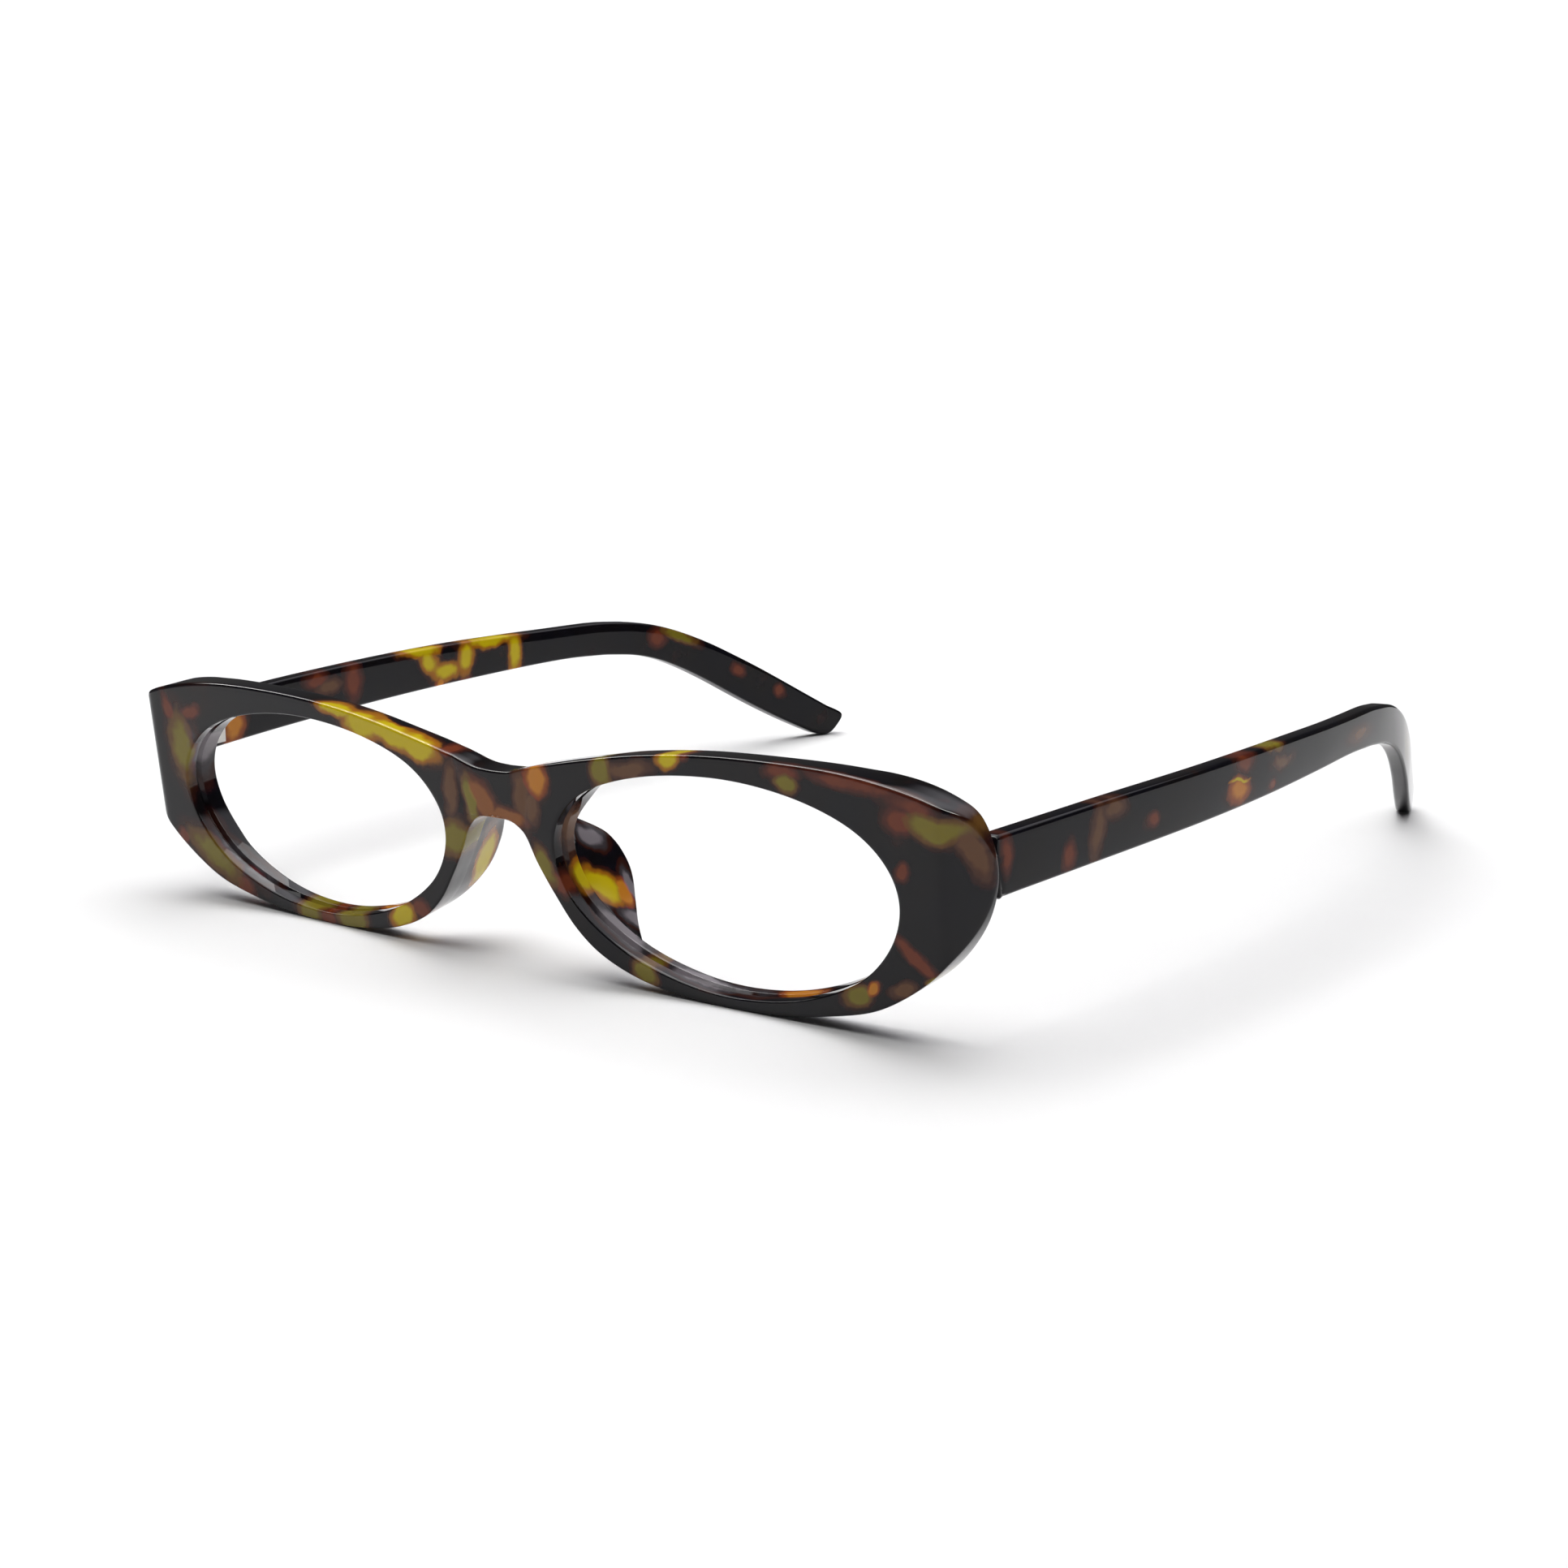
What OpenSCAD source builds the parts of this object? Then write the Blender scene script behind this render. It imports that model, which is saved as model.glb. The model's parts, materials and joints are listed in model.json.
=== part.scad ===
// Eyeglasses frame, standing open on its lower rims and temple tips.
// Units are millimetres, +Z is up, the front looks along -Y and +X is the viewer's right.

/* [Front] */
// Width of one lens opening at its widest
lens_w = 47.4; // [44:0.2:54]
// Height of one lens opening at its tallest
lens_h = 26.1; // [22:0.1:34]
// Distance between the two lens openings
bridge_gap = 17.4; // [14:0.2:22]
// Width over both end pieces
front_w = 131.8; // [124:0.2:146]
// Thickness of the rims at the bridge, front to back
rim_t = 4.1; // [3.5:0.1:5.5]
// Depth of the end pieces, from the bridge's front face to the temple seat
end_depth = 6.5; // [5.5:0.1:8]
// Forward lean of the whole front
lean = 7; // [0:0.5:12]
// Backward sweep of each lens half
wrap = 1.7; // [0:0.1:6]
// Inward drift of the top face for each millimetre of depth
brow_in = 0.22; // [0:0.01:0.4]
// Downward drift of the top face for each millimetre of depth
brow_down = 0.15; // [0:0.01:0.25]
// Slope of the chamfered end facet
end_slope = 44; // [30:1:60]
// Distance from the middle to the bridge crease
crease_in = 5.4; // [4:0.1:8]
// Distance from the middle to the end crease
crease_out = 61.8; // [56:0.1:66]
// Width of the lens groove
groove_w = 1.0; // [0.6:0.1:1.6]
// Depth of the lens groove
groove_d = 0.5; // [0.3:0.1:0.9]

/* [Nose pads] */
// Depth of the free edge of a pad, from the bridge's front face
pad_depth = 11.8; // [8:0.1:14]
// Thickness of a pad where it leaves the rim
pad_t = 1.6; // [1.2:0.1:2.4]
// Outward drift of the nose side for each millimetre of depth
nose_out = 0.31; // [0.1:0.01:0.4]
// Downward drift of the nose side for each millimetre of depth
nose_down = 0.19; // [0:0.01:0.3]

/* [Temples] */
// Thickness of a temple
temple_t = 2.7; // [2.2:0.1:4.5]
// Gap between a temple and its seat
seat_gap = 0.2; // [0.1:0.05:0.4]
// Height of the flat core wire
core_h = 1.6; // [1:0.1:2.2]
// Thickness of the flat core wire
core_t = 1.0; // [0.6:0.1:1.4]

/* [Hinges] */
// Distance from the middle to a hinge axis
axis_x = 61.3; // [58:0.1:66]
// Distance of a hinge axis behind the front
axis_y = 9.7; // [9:0.1:12]
// Height of the middle of a hinge
axis_z = 20.7; // [18:0.1:24]
// Radius of a hinge barrel
barrel_r = 1.35; // [1:0.05:1.8]
// Height of one hinge barrel
barrel_h = 1.0; // [0.8:0.05:1.3]
// Gap between two barrels
barrel_gap = 0.08; // [0.05:0.01:0.15]
// Radius of the screw shank
screw_r = 0.65; // [0.5:0.05:0.9]
// Radial clearance of the screw in its barrels
screw_fit = 0.05; // [0.02:0.01:0.1]
// Thickness of a hinge plate
plate_t = 0.8; // [0.5:0.05:1.2]
// Height of a hinge plate
plate_h = 5.0; // [4:0.1:6]
// Length of the plate on a temple
plate_run = 8.3; // [7.5:0.1:12]

/* [Hidden] */
$fn = 48;
mid_y = -76.62;
face_y = 3.6;
seat_fit = 0.02;
lens_x = (bridge_gap + lens_w) / 2;
lens_v = 14.45;
end_x = front_w / 2;
knuckles = 5;
stack_h = knuckles * barrel_h + (knuckles - 1) * barrel_gap;
barrel_step = barrel_h + barrel_gap;
front_plate_h = stack_h + 0.4;
seat_y = end_depth - (axis_y - face_y) * cos(lean) - axis_z * sin(lean);
end_d = (crease_out - crease_in) * tan(wrap);
temple_turn = 7.7;

// ---- Smooth curves -------------------------------------------------------

// Point at t between b and c on a smooth curve through a, b, c and d.
function blend(a, b, c, d, t) =
  0.5 * (2 * b + (c - a) * t + (2 * a - 5 * b + 4 * c - d) * t * t
  + (3 * b - a - 3 * c + d) * t * t * t);

// Closed smooth curve with n steps between neighbouring points.
function loop_curve(p, n) =
  let (m = len(p))
  [for (i = [0 : m - 1], j = [0 : n - 1])
    blend(p[(i + m - 1) % m], p[i], p[(i + 1) % m], p[(i + 2) % m], j / n)];

// Open smooth curve with n steps between neighbouring points.
function run_curve(p, n) =
  let (m = len(p))
  concat(
    [for (i = [0 : m - 2], j = [0 : n - 1])
      blend(p[max(i - 1, 0)], p[i], p[i + 1], p[min(i + 2, m - 1)], j / n)],
    [p[m - 1]]);

// Points moved outwards by d, for a closed curve that runs anticlockwise.
function grown(p, d) =
  let (m = len(p))
  [for (i = [0 : m - 1])
    let (s = p[(i + 1) % m] - p[(i + m - 1) % m])
    p[i] + d * [s[1], -s[0]] / norm(s)];

function reversed(p) = [for (i = [len(p) - 1 : -1 : 0]) p[i]];
function flipped(p) = [for (q = reversed(p)) [-q[0], q[1]]];

// ---- Front outline, in the plane of the leaning front --------------------

// Lens opening as shares of its half width and half height, anticlockwise.
lens_shape = [
  [1.00, 0.11], [0.93, 0.46], [0.74, 0.74], [0.42, 0.93], [0.02, 1.00],
  [-0.42, 0.92], [-0.78, 0.70], [-0.97, 0.35], [-0.99, -0.04], [-0.86, -0.44],
  [-0.58, -0.78], [-0.22, -0.97], [0.12, -1.00], [0.46, -0.89], [0.76, -0.64],
  [0.94, -0.28]
];
lens_curve = loop_curve(
  [for (s = lens_shape) [s[0] * lens_w / 2, s[1] * lens_h / 2]], 5);

// Right half of the outline, from under the bridge round to its top.
half_shape = [
  [0, 18.7], [2.6, 18.5], [4.5, 16.9], [6.0, 13.8], [8.3, 10.0], [11.0, 6.3],
  [14.6, 3.4], [20.0, 1.25], [26.5, 0.15], [33.0, -0.1], [39.5, 0.2],
  [46.0, 1.2], [52.5, 3.0], [58.2, 6.7], [62.2, 10.8],
  [end_x - 1.1, 14.9], [end_x, 19.8], [end_x - 0.9, 24.6],
  [62.6, 27.3], [57.0, 28.9], [49.0, 30.2], [40.0, 30.5], [30.5, 30.1],
  [21.5, 29.0], [13.0, 27.4], [6.4, 25.9], [2.8, 24.9], [0, 24.7]
];
half_curve = run_curve(half_shape, 4);
outline = concat(half_curve, flipped(half_curve));

// Right half of the section seen from above, as distance from the middle and depth.
back_line = run_curve([
  [end_x + 1, end_depth], [57.0, end_depth], [50.0, end_depth - 0.5],
  [38.0, rim_t + 0.8], [22.0, rim_t + 0.2], [0, rim_t]
], 4);
half_plan = concat(
  [
    [0, 0],
    [crease_in, 0],
    [crease_out, end_d],
    [end_x + 1, end_d + (end_x + 1 - crease_out) * tan(end_slope)]
  ],
  back_line);

// Children are drawn in the front's own plane: X across, Y up the front, Z towards the viewer.
module on_front() {
  translate([0, mid_y + face_y, 0])
    rotate([90 + lean, 0, 0])
      children();
}

// Children stand on one swept lens half, measured from the middle of that lens.
module on_lens(side) {
  translate([side * crease_in, 0, 0])
    rotate([0, side * wrap, 0])
      translate([side * (lens_x - crease_in), lens_v, 0])
        mirror([side < 0 ? 1 : 0, 0, 0])
          children();
}

// Everything in front view between the plan's front and back, at any height.
module plan_prism() {
  rotate([-90, 0, 0])
    translate([0, 0, -40])
      linear_extrude(height = 80)
        polygon(concat(half_plan, flipped(half_plan)));
}

// Prism on an outline in the front's plane that drifts sideways by d for each millimetre of depth.
module drifting_prism(p, d) {
  c = p[0];
  u = d / norm(d);
  k = 1 - cos(atan(norm(d)));
  translate([c[0], c[1], 0])
    rotate(a = atan(norm(d)), v = [d[1], -d[0], 0])
      translate([0, 0, -30])
        linear_extrude(height = 50)
          polygon([for (q = p) (q - c) - k * ((q - c) * u) * u]);
}

// Edge of the rim beside the nose, from under the bridge to the bottom of the rim.
nose_edge = [for (p = half_curve) if (p[0] > 2.6 && p[0] < 21 && p[1] < 18.6) p];

module nose_cut() {
  drifting_prism(concat([[1, -4], [1, 18.4]], nose_edge, [[21, -4]]), [nose_out, -nose_down]);
}

// Upper line of the right half, drawn past the end so that the end stays full at its widest.
brow_line = run_curve(concat(
  [[67.6, 16.5], [67.4, 19.8], [66.9, 23.4], [65.4, 26.3], [62.5, 28.4], [57.2, 29.65]],
  [for (p = half_shape) if (p[1] > 24.65 && p[0] < 56) p]), 4);

// The top face slopes down and in towards the back, most at the end pieces.
module brow_cut() {
  intersection() {
    drifting_prism(
      concat([[75, 16.5]], brow_line, [[-4, 24.7], [-4, 42], [75, 42]]),
      [-brow_in, -brow_down]);
    translate([0, 0, -20])
      cube([80, 50, 30]);
  }
}

module lens_cut() {
  translate([0, 0, -end_depth - 3])
    linear_extrude(height = end_depth + 6)
      polygon(lens_curve);
  translate([0, 0, -rim_t / 2 - groove_w / 2])
    linear_extrude(height = groove_w)
      polygon(grown(lens_curve, groove_d));
}

module front_frame() {
  color([0.16, 0.12, 0.10])
  difference() {
    on_front()
      difference() {
        intersection() {
          translate([0, 0, -12])
            linear_extrude(height = 14)
              polygon(outline);
          plan_prism();
        }
        for (side = [-1, 1]) {
          on_lens(side)
            lens_cut();
          mirror([side < 0 ? 1 : 0, 0, 0]) {
            nose_cut();
            brow_cut();
          }
        }
      }
    for (side = [-1, 1])
      mirror([side < 0 ? 1 : 0, 0, 0])
        front_anchor(seat_fit);
  }
}

// ---- Nose pads -----------------------------------------------------------

// Side view of a pad, as height up the front and depth.
pad_side = [
  [2.4, 3.0], [3.0, 5.6], [4.4, pad_depth - 3.4], [6.6, pad_depth - 1.5],
  [9.0, pad_depth - 0.3], [11.2, pad_depth], [13.2, pad_depth - 0.5],
  [14.8, pad_depth - 2.1], [16.0, pad_depth - 4.4], [17.0, 5.4], [17.8, 3.0]
];

// Nose side of a pad in front view.
pad_line = [for (p = nose_edge) if (p[0] < 18) p];

// Open line moved sideways by d, to the right of its direction when d is positive.
function grown_line(p, d) =
  let (m = len(p))
  [for (i = [0 : m - 1])
    let (s = p[min(i + 1, m - 1)] - p[max(i - 1, 0)])
    p[i] + d * [s[1], -s[0]] / norm(s)];

module nose_pad() {
  color([0.22, 0.16, 0.10])
  on_front()
    difference() {
      intersection() {
        drifting_prism(
          concat(pad_line, reversed(grown_line(pad_line, -4))), [nose_out, -nose_down]);
        drifting_prism(
          concat(grown_line(pad_line, 4), reversed(grown_line(pad_line, -pad_t))),
          [nose_out + 0.02, -nose_down - 0.18]);
        rotate([0, 90, 0])
          linear_extrude(height = 30)
            polygon([for (p = run_curve(pad_side, 4)) [p[1], p[0]]]);
      }
      plan_prism();
    }
}

// ---- Temples -------------------------------------------------------------

// Middle line of a temple from above, as distance along Y and distance out.
plan_line = run_curve([
  [4, 63.93], [32, 67.2], [64, 69.05], [92, 68.0], [110, 66.1], [125, 62.9],
  [138, 58.7], [157, 52.3]
], 6);

// Upper and lower edges of a temple from the side, up to the tip.
top_edge = run_curve([
  [4, 24.1], [35, 25.0], [65, 25.3], [92, 24.95], [105, 24.4], [115, 22.75],
  [127, 18.05], [139, 11.5], [150, 5.0]
], 5);
low_edge = run_curve([
  [4, 16.95], [35, 18.25], [65, 19.1], [90, 19.65], [104, 19.1], [114, 17.25],
  [124, 12.9], [136, 6.1], [146.5, 1.0]
], 5);
tip_edge = run_curve([
  [146.5, 1.0], [148.9, 0.04], [151.0, 0.4], [152.7, 2.1], [152.2, 3.7], [150, 5.0]
], 4);
side_shape = concat(low_edge, tip_edge, reversed(top_edge));

// Strip of width w that follows a line, widened so that its true width holds on a slope.
function strip(p, w) =
  let (m = len(p))
  let (s = [for (i = [0 : m - 1]) p[min(i + 1, m - 1)] - p[max(i - 1, 0)]])
  let (h = [for (v = s) w / 2 * norm(v) / abs(v[0])])
  concat(
    [for (i = [0 : m - 1]) p[i] + [0, h[i]]],
    [for (i = [m - 1 : -1 : 0]) p[i] - [0, h[i]]]);

// Plan drawings are given as [along, out]; side drawings as [along, up].
module plan_solid(p) {
  translate([0, mid_y, -20])
    linear_extrude(height = 70)
      polygon([for (q = p) [q[1], q[0]]]);
}

module side_solid(p) {
  translate([20, mid_y, 0])
    rotate([90, 0, 90])
      linear_extrude(height = 80)
        polygon(p);
}

// Block that fills everything ahead of the leaning temple seat.
module seat_block(gap) {
  on_front()
    translate([0, -20, -end_depth - gap])
      cube([90, 80, 60]);
}

// Middle height of a temple, from just behind its seat to short of the tip.
core_line = [
  for (i = [0 : 30])
    let (y = 9 + i * 4.3)
    [y, (lookup(y, top_edge) + lookup(y, low_edge)) / 2]
];

module core_solid(extra) {
  intersection() {
    plan_solid(strip(plan_line, core_t + 2 * extra));
    side_solid(strip(core_line, core_h + 2 * extra));
  }
}

module temple() {
  color([0.16, 0.12, 0.10])
  difference() {
    intersection() {
      plan_solid(strip(plan_line, temple_t));
      side_solid(side_shape);
    }
    seat_block(seat_gap);
    core_solid(seat_fit);
    temple_anchor(seat_fit);
  }
}

module temple_core() {
  color([0.72, 0.72, 0.74])
  core_solid(0);
}

// ---- Hinges --------------------------------------------------------------

// The hinge axis leans with the front. Children are drawn round it: X out, Y back, Z along it.
module on_hinge() {
  translate([axis_x, mid_y + axis_y, axis_z])
    rotate([lean, 0, 0])
      children();
}

// Barrels at the given places in the stack, counted from the bottom, each with a web to its plate.
module barrels(places, web) {
  on_hinge()
    for (k = places)
      translate([0, 0, k * barrel_step - stack_h / 2]) {
        cylinder(r = barrel_r, h = barrel_h);
        translate([web[0], web[1], 0])
          cube([web[2], web[3], barrel_h]);
      }
}

module screw_bore() {
  on_hinge()
    translate([0, 0, -stack_h / 2 - 1])
      cylinder(r = screw_r + screw_fit, h = stack_h + 2);
}

// Plate and two studs sunk into the back of an end piece.
module front_anchor(extra) {
  on_hinge() {
    translate([-3.7 - extra, seat_y - plate_t - extra, -front_plate_h / 2 - extra])
      cube([5 + 2 * extra, plate_t + 0.3 + extra, front_plate_h + 2 * extra]);
    for (z = [-1.5, 1.5])
      translate([-1.7, seat_y, z])
        rotate([90, 0, 0])
          cylinder(r = 0.6 + extra, h = plate_t + 1.8 + extra);
  }
}

module front_leaf() {
  color([0.74, 0.74, 0.76])
  difference() {
    union() {
      front_anchor(0);
      barrels([0, 2, 4], [-barrel_r, -2.3, barrel_r, 2.3]);
    }
    screw_bore();
  }
}

// Children are drawn along the inner face of a temple: X out, Y back, Z up.
module on_temple() {
  translate([axis_x + 2, mid_y + axis_y, axis_z])
    rotate([0, 0, -temple_turn])
      children();
}

// Plate and four studs sunk into the inner face of a temple.
module temple_anchor(extra) {
  on_temple() {
    translate([-0.35 - extra, -0.9 - extra, -plate_h / 2 - extra])
      cube([plate_t + 2 * extra, plate_run + 2 * extra, plate_h + 2 * extra]);
    for (z = [-1.7, 1.95], y = [plate_run - 5.5, plate_run - 2.3])
      translate([0.3, y, z])
        rotate([0, 90, 0])
          cylinder(r = 0.5 + extra, h = 1.4 + extra);
  }
}

module temple_leaf() {
  color([0.74, 0.74, 0.76])
  difference() {
    union() {
      temple_anchor(0);
      barrels([1, 3], [0, -0.6, 1.95, 1.95]);
    }
    screw_bore();
  }
}

module hinge_screw() {
  color([0.80, 0.80, 0.82])
  on_hinge()
    translate([0, 0, -stack_h / 2])
      difference() {
        union() {
          cylinder(r = screw_r, h = stack_h);
          translate([0, 0, stack_h])
            cylinder(r = 1.1, h = 0.55);
        }
        translate([-2, -0.15, stack_h + 0.25])
          cube([4, 0.3, 1]);
      }
}

module left() {
  mirror([1, 0, 0])
    children();
}

front_frame();
left() nose_pad();  // left_nose_pad
nose_pad();  // right_nose_pad
left() temple();  // left_temple
temple();  // right_temple
left() temple_core();  // left_temple_core
temple_core();  // right_temple_core
left() front_leaf();  // left_front_leaf
front_leaf();  // right_front_leaf
left() temple_leaf();  // left_temple_leaf
temple_leaf();  // right_temple_leaf
left() hinge_screw();  // left_hinge_screw
hinge_screw();  // right_hinge_screw
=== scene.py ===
"""Looks of a tortoiseshell eyeglasses frame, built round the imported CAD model.

Shapes are written in millimetres in the front's own plane (x across, v up the leaning front,
d depth behind its face) or along a temple (y back, z up), and become metres in the row frame.
"""

import json
import math

import bmesh
import bpy
import mathutils
import numpy as np
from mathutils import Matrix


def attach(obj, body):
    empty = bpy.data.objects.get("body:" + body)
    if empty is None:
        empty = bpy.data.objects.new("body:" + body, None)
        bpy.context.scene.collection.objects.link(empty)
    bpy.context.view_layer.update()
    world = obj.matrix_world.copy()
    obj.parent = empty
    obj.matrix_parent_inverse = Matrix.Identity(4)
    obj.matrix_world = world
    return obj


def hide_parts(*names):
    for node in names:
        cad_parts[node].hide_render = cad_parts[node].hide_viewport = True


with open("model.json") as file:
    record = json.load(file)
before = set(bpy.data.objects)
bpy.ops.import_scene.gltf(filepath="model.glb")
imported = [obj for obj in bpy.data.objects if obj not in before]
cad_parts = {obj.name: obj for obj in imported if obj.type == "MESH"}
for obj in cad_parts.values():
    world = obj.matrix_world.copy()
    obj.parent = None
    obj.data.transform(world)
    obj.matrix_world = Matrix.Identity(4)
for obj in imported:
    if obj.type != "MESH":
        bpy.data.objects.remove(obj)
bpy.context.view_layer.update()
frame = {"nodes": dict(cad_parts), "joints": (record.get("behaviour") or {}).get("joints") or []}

MM = 0.001

# ---- Dimensions shared with the CAD model ------------------------------------

LENS_W, LENS_H = 47.4, 26.1
BRIDGE_GAP = 17.4
LENS_X = (BRIDGE_GAP + LENS_W) / 2
LENS_V = 14.45
END_X = 65.9
LEAN = math.radians(7)
WRAP = math.tan(math.radians(1.7))
END_SLOPE = math.tan(math.radians(44))
CREASE_OUT = 61.8
GROOVE_NEAR, GROOVE_FAR, GROOVE_DEEP = 1.55, 2.55, 0.5
SEAT_DEPTH = 6.7
TEMPLE_T = 2.7
# How far behind the plane y = MID_Y the hinge axis and the foot of the face lie.
HINGE_BACK, FACE_BACK = 9.7, 3.6

hinge_at = {j["name"]: j["pos_m"] for j in frame["joints"]}["right_temple_fold"]
MID_Y = hinge_at[1] / MM - HINGE_BACK
FACE_Y = MID_Y + FACE_BACK


def from_front(x, v, d):
    """Row-frame points, in metres, of places on the leaning front."""
    x, v, d = np.broadcast_arrays(x, v, d)
    y = FACE_Y + d * math.cos(LEAN) - v * math.sin(LEAN)
    z = v * math.cos(LEAN) + d * math.sin(LEAN)
    return np.stack([x, y, z], -1) * MM


# ---- Curves --------------------------------------------------------------------

def blend(a, b, c, d, t):
    """Catmull-Rom point at t between b and c."""
    return 0.5 * (2 * b + (c - a) * t + (2 * a - 5 * b + 4 * c - d) * t**2
                  + (3 * b - a - 3 * c + d) * t**3)


def loop_curve(points, steps):
    """Smooth closed line through the points, with steps points to each span."""
    p = np.array(points, float)
    m = len(p)
    return np.array([blend(p[i - 1], p[i], p[(i + 1) % m], p[(i + 2) % m], j / steps)
                     for i in range(m) for j in range(steps)])


def run_curve(points, steps):
    """Smooth open line through the points, with steps points to each span."""
    p = np.array(points, float)
    m = len(p)
    inner = [blend(p[max(i - 1, 0)], p[i], p[i + 1], p[min(i + 2, m - 1)], j / steps)
             for i in range(m - 1) for j in range(steps)]
    return np.array(inner + [p[-1]])


def along(p):
    """Distance run at each point of an open line, measured on its first two columns."""
    step = np.linalg.norm(np.diff(p[:, :2], axis=0), axis=1)
    return np.concatenate([[0], np.cumsum(step)])


def even(p, count):
    """The line again with count evenly spaced points."""
    s = along(p)
    at = np.linspace(0, s[-1], count)
    return np.stack([np.interp(at, s, p[:, k]) for k in range(p.shape[1])], -1)


def reading(points):
    """Function that reads a smooth line through (place, value) points."""
    line = run_curve(points, 12)
    order = np.argsort(line[:, 0])
    return lambda t: np.interp(t, line[order, 0], line[order, 1])


def normals(p, start, end):
    """Unit normals to the right of an open line's direction, with those of its ends given."""
    t = np.gradient(p, axis=0)
    n = np.stack([t[:, 1], -t[:, 0]], -1)
    n /= np.linalg.norm(n, axis=1)[:, None]
    n[0], n[-1] = start, end
    return n


def soft_ramp(x, width):
    """Zero before 0 and x after it, rounded over about the width."""
    return width * np.logaddexp(0, x / width)


def rounded(corners, radii, steps):
    """Polyline through corners whose inner corners are rounded. Arrays are (point, spoke, axis)."""
    most = 0.48
    line = [corners[0]]
    for i in range(1, len(corners) - 1):
        a, b, c = corners[i - 1], corners[i], corners[i + 1]
        la = np.linalg.norm(a - b, axis=-1, keepdims=True)
        lc = np.linalg.norm(c - b, axis=-1, keepdims=True)
        ra = np.minimum(radii[i - 1], most * la)
        rc = np.minimum(radii[i - 1], most * lc)
        pa = b + (a - b) / np.maximum(la, 1e-9) * ra
        pc = b + (c - b) / np.maximum(lc, 1e-9) * rc
        for t in np.linspace(0, 1, steps + 1):
            line.append((1 - t) ** 2 * pa + 2 * t * (1 - t) * b + t * t * pc)
    line.append(corners[-1])
    return np.stack(line)


def rounded_ends(corners, near, far, steps=7):
    """Wall between two edges: an arc off the face, a straight run and an arc onto the back."""
    face, front, rear, back = corners
    run = (rear - front) / np.linalg.norm(rear - front, axis=-1, keepdims=True)
    a, b = front + run * near[:, None], rear - run * far[:, None]
    t = np.linspace(0, 1, steps + 1)[:, None, None]
    first = (1 - t) ** 2 * face + 2 * t * (1 - t) * front + t * t * a
    last = (1 - t) ** 2 * b + 2 * t * (1 - t) * rear + t * t * back
    middle = a + (b - a) * np.linspace(0, 1, 4)[1:-1, None, None]
    return np.concatenate([first[1:], middle, last[:-1]])


# ---- Meshes --------------------------------------------------------------------

def add_mesh(name, verts, faces, material, merge):
    """Smooth-shaded object whose points closer than merge, in metres, are joined."""
    mesh = bpy.data.meshes.new(name)
    mesh.from_pydata([tuple(v) for v in verts], [], faces)
    mesh.validate()
    obj = bpy.data.objects.new(name, mesh)
    bpy.context.scene.collection.objects.link(obj)
    bm = bmesh.new()
    bm.from_mesh(mesh)
    bmesh.ops.remove_doubles(bm, verts=bm.verts, dist=merge)
    bmesh.ops.recalc_face_normals(bm, faces=bm.faces)
    bm.to_mesh(mesh)
    bm.free()
    mesh.shade_smooth()
    mesh.materials.append(material)
    return obj


def grid_faces(index, closed_u=False, closed_v=False):
    """Quads between neighbours of a 2-D array of vertex numbers."""
    a = np.asarray(index)
    if closed_u:
        a = np.vstack([a, a[:1]])
    if closed_v:
        a = np.hstack([a, a[:, :1]])
    q = np.stack([a[:-1, :-1], a[1:, :-1], a[1:, 1:], a[:-1, 1:]], -1).reshape(-1, 4)
    return [tuple(dict.fromkeys(f)) for f in q.tolist() if len(set(f)) > 2]


# ---- Front ---------------------------------------------------------------------

# Right half of the outline from under the bridge, anticlockwise: across, up, how far the wall
# there moves into the rim for each millimetre of depth, and the rounding of its front edge.
HALF_OUTLINE = [
    (0, 18.7, 0.0, 0.3), (2.6, 18.5, 0.02, 0.3), (4.5, 16.9, 0.12, 0.3), (6.0, 13.8, 0.2, 0.3),
    (8.3, 10.0, 0.17, 0.3), (11.0, 6.3, 0.11, 0.3), (14.6, 3.4, 0.05, 0.3), (20.0, 1.25, 0.0, 0.3),
    (26.5, 0.15, 0.0, 0.3), (33.0, -0.1, 0.0, 0.3), (39.5, 0.2, 0.0, 0.3), (46.0, 1.2, 0.0, 0.3),
    (52.5, 3.0, 0.0, 0.3), (58.3, 6.6, -0.03, 0.3), (62.4, 10.6, -0.02, 0.3),
    (END_X - 0.9, 14.9, 0.0, 0.3), (END_X + 0.1, 19.8, 0.02, 0.35), (END_X - 1.0, 24.5, 0.0, 0.5),
    (62.5, 27.25, 0.06, 0.6), (57.0, 28.95, 0.04, 0.6), (49.0, 30.1, 0.12, 0.55),
    (40.0, 30.34, 0.14, 0.5), (30.5, 30.0, 0.13, 0.5), (21.5, 29.0, 0.12, 0.5),
    (13.0, 27.4, 0.12, 0.5), (6.4, 25.9, 0.11, 0.45), (2.8, 24.9, 0.11, 0.45),
    (0, 24.7, 0.11, 0.45)]

# Lens opening as shares of its half width and half height.
LENS_SHAPE = [
    (1.00, 0.11), (0.93, 0.46), (0.74, 0.74), (0.42, 0.93), (0.02, 1.00), (-0.42, 0.92),
    (-0.78, 0.70), (-0.97, 0.35), (-0.99, -0.04), (-0.86, -0.44), (-0.58, -0.78),
    (-0.22, -0.97), (0.12, -1.00), (0.46, -0.89), (0.76, -0.64), (0.94, -0.28)]

OUTER_STEPS, BRIDGE_STEPS, FACE_STEPS = 380, 26, 30
ABOVE_RIM = 60.0
REAR_BEVEL, NOSE_BEVEL, LENS_BEVEL = 0.4, 0.08, 0.15
# The face: where a half starts to sweep back, how softly it and the end facet turn, and the
# depth and width of the valley along the bridge crease.
SWEEP_FROM, SWEEP_SOFT, FACET_SOFT = 5.4, 0.2, 0.28
VALLEY_DEEP, VALLEY_WIDE = 0.16, 0.7
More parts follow.
